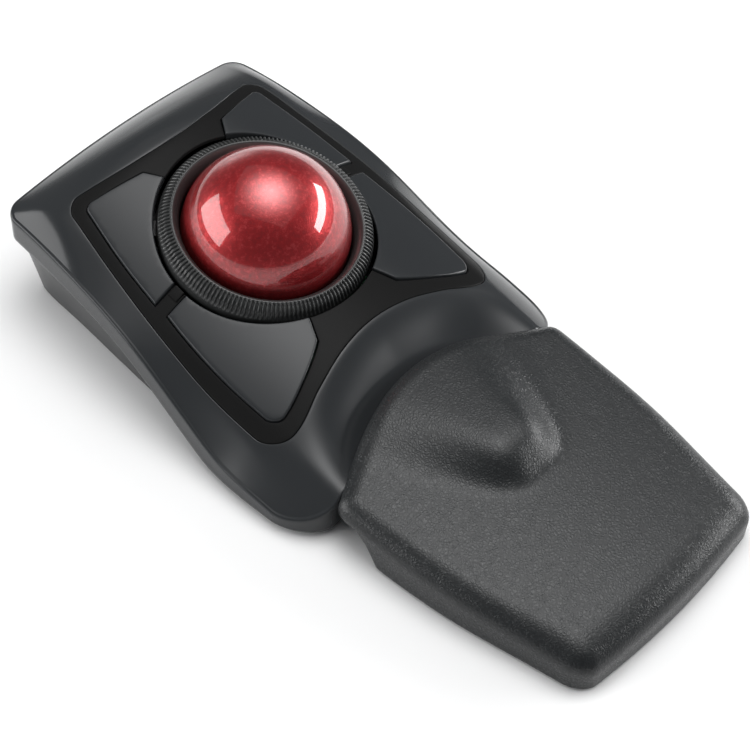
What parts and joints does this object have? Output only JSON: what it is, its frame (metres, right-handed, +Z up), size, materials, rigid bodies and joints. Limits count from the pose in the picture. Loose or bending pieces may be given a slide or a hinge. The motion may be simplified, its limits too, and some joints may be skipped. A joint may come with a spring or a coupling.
{
  "type": "trackball mouse",
  "caption": "Desktop trackball with a large ball in a ribbed scroll ring, sprung keys round it and a detachable padded wrist rest.",
  "frame": {"origin": "on the desk under the middle of the whole object, wrist rest included", "axes": "+X to the user's right, +Y away from the user towards the raised back edge, +Z up"},
  "size_m": [0.1232, 0.2391, 0.065],
  "materials": {
    "cover_plastic": "satin dark grey moulding with a fine texture",
    "bezel_plastic": "high gloss black",
    "button_plastic": "satin charcoal keys",
    "base_plastic": "fine matte black",
    "ring_plastic": "satin black",
    "ball_resin": "polished ruby red with a fine metallic fleck",
    "inner_plastic": "matte black",
    "bearing_ceramic": "polished white",
    "lens_plastic": "clear moulding",
    "board_green": "solder mask",
    "switch_plastic": "mid grey",
    "contact_steel": "nickel plated",
    "screw_steel": "dark zinc",
    "foot_rubber": "soft matte",
    "pad_leather": "pebbled leatherette",
    "battery_sleeve": "printed sleeve, left plain"
  },
  "bodies": {
    "housing": {"top_cover": "cover_plastic", "bezel_deck": "bezel_plastic", "base_shell": "base_plastic", "case_screws": "screw_steel", "base_feet": "foot_rubber", "ball_socket": "inner_plastic", "support_bearings": "bearing_ceramic", "ring_encoder": "inner_plastic", "sensor_lens": "lens_plastic", "ball_sensor": "inner_plastic", "main_board": "board_green", "board_parts": "inner_plastic", "button_switches": "switch_plastic", "switch_brackets": "board_green", "battery_tray": "inner_plastic", "battery_contacts": "contact_steel", "power_switch_body": "inner_plastic", "connect_switch": "inner_plastic", "front_battery": "battery_sleeve", "rear_battery": "battery_sleeve"},
    "ball_body": {"ball": "ball_resin"},
    "ring": {"scroll_ring": "ring_plastic", "ring_code_strip": "inner_plastic"},
    "key_back_left": {"back_left_button": "button_plastic"},
    "key_front_left": {"front_left_button": "button_plastic"},
    "key_back_right": {"back_right_button": "button_plastic"},
    "key_front_right": {"front_right_button": "button_plastic"},
    "door": {"battery_door": "base_plastic"},
    "receiver_body": {"receiver": "base_plastic"},
    "power_knob": {"power_switch_knob": "switch_plastic"},
    "connect_key": {"connect_button": "switch_plastic"},
    "wrist_rest": {"rest_tray": "base_plastic", "rest_pad": "pad_leather", "rest_feet": "foot_rubber"}
  },
  "joints": [
    {"name": "ball_spin", "type": "hinge", "parent": "housing", "child": "ball_body", "pos_m": [0, 0.0525, 0.0375], "axis": [1, 0, 0], "continuous": true},
    {"name": "ring_scroll", "type": "hinge", "parent": "housing", "child": "ring", "pos_m": [0, 0.0525, 0.0375], "axis": [0, -0.2164, 0.9763], "continuous": true},
    {"name": "back_left_press", "type": "slide", "parent": "housing", "child": "key_back_left", "axis": [0, 0.2164, -0.9763], "range_m": [0, 0.0008], "stiffness_N_per_m": 600, "springref_m": -0.0003},
    {"name": "back_right_press", "type": "slide", "parent": "housing", "child": "key_back_right", "axis": [0, 0.2164, -0.9763], "range_m": [0, 0.0008], "stiffness_N_per_m": 600, "springref_m": -0.0003},
    {"name": "front_left_press", "type": "slide", "parent": "housing", "child": "key_front_left", "axis": [0, 0.2164, -0.9763], "range_m": [0, 0.0008], "stiffness_N_per_m": 600, "springref_m": -0.0003},
    {"name": "front_right_press", "type": "slide", "parent": "housing", "child": "key_front_right", "axis": [0, 0.2164, -0.9763], "range_m": [0, 0.0008], "stiffness_N_per_m": 600, "springref_m": -0.0003},
    {"name": "battery_door_open", "type": "hinge", "parent": "housing", "child": "door", "pos_m": [0, 0.1071, 0.00125], "axis": [1, 0, 0], "range_deg": [0, 100]},
    {"name": "receiver_pull", "type": "slide", "parent": "housing", "child": "receiver_body", "axis": [0, 0, -1], "range_m": [0, 0.02]},
    {"name": "power_slide", "type": "slide", "parent": "housing", "child": "power_knob", "axis": [1, 0, 0], "range_m": [0, 0.003]},
    {"name": "connect_press", "type": "slide", "parent": "housing", "child": "connect_key", "axis": [0, 0, 1], "range_m": [0, 0.0005], "stiffness_N_per_m": 500, "springref_m": -0.0002},
    {"name": "wrist_rest_pull", "type": "slide", "parent": "housing", "child": "wrist_rest", "axis": [0, -1, 0], "range_m": [0, 0.04]}
  ]
}
